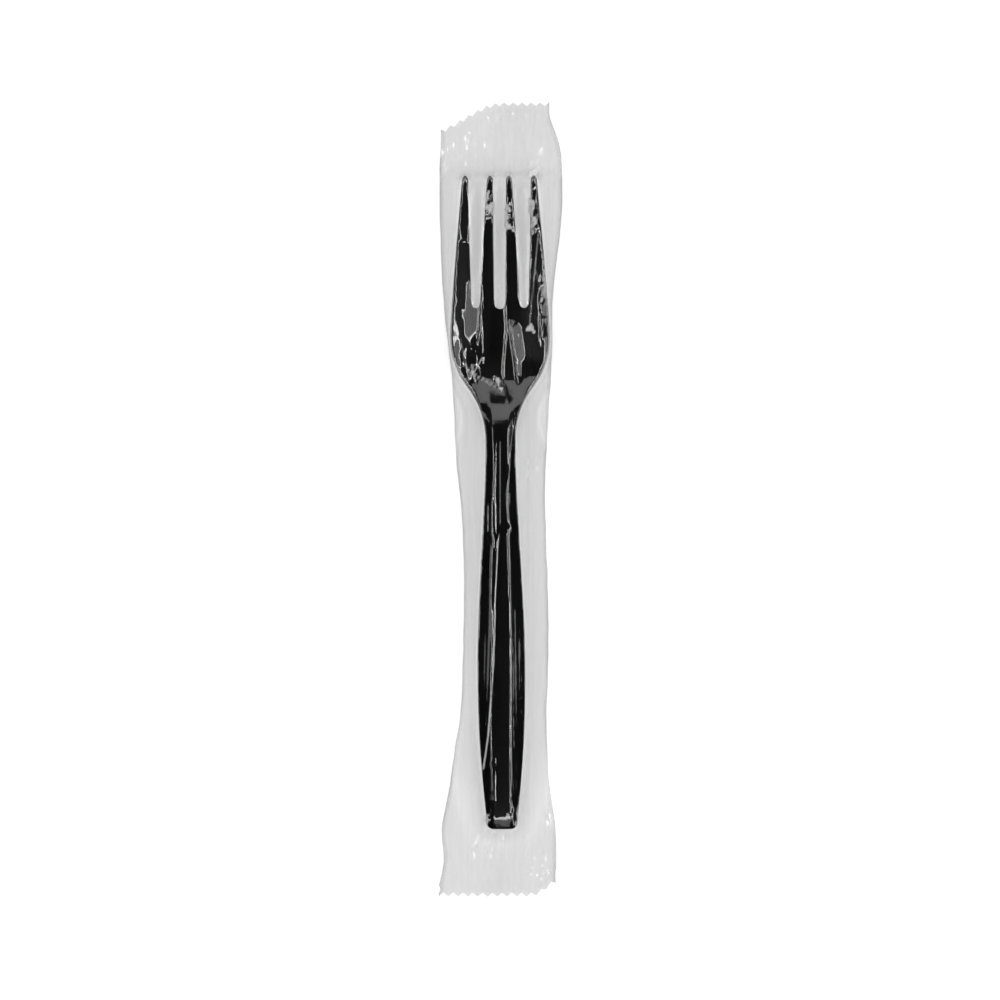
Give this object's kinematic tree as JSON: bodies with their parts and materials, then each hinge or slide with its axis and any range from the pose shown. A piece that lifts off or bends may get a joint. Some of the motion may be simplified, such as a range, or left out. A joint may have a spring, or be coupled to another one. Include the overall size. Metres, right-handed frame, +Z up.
{
  "type": "plastic cutlery pack",
  "caption": "Disposable black plastic fork sealed in a crinkled clear film pouch with a fin seam underneath and toothed, crimped ends.",
  "frame": {"origin": "on the table, under the middle of the pouch's bounding box", "axes": "+Z up, away from the table; +Y along the pack, from the handle's end to the tine tips; +X to the right, seen from above with the tines away from the viewer"},
  "size_m": [0.0348, 0.2176, 0.0131],
  "materials": {
    "black_plastic": "injection-moulded black plastic, satin to glossy with a fine grain",
    "clear_film": "clear glossy film, 0.04 mm thick, crinkled, faintly hazy"
  },
  "bodies": {
    "root": {"fork": "black_plastic", "film_pouch": "clear_film"}
  },
  "joints": []
}
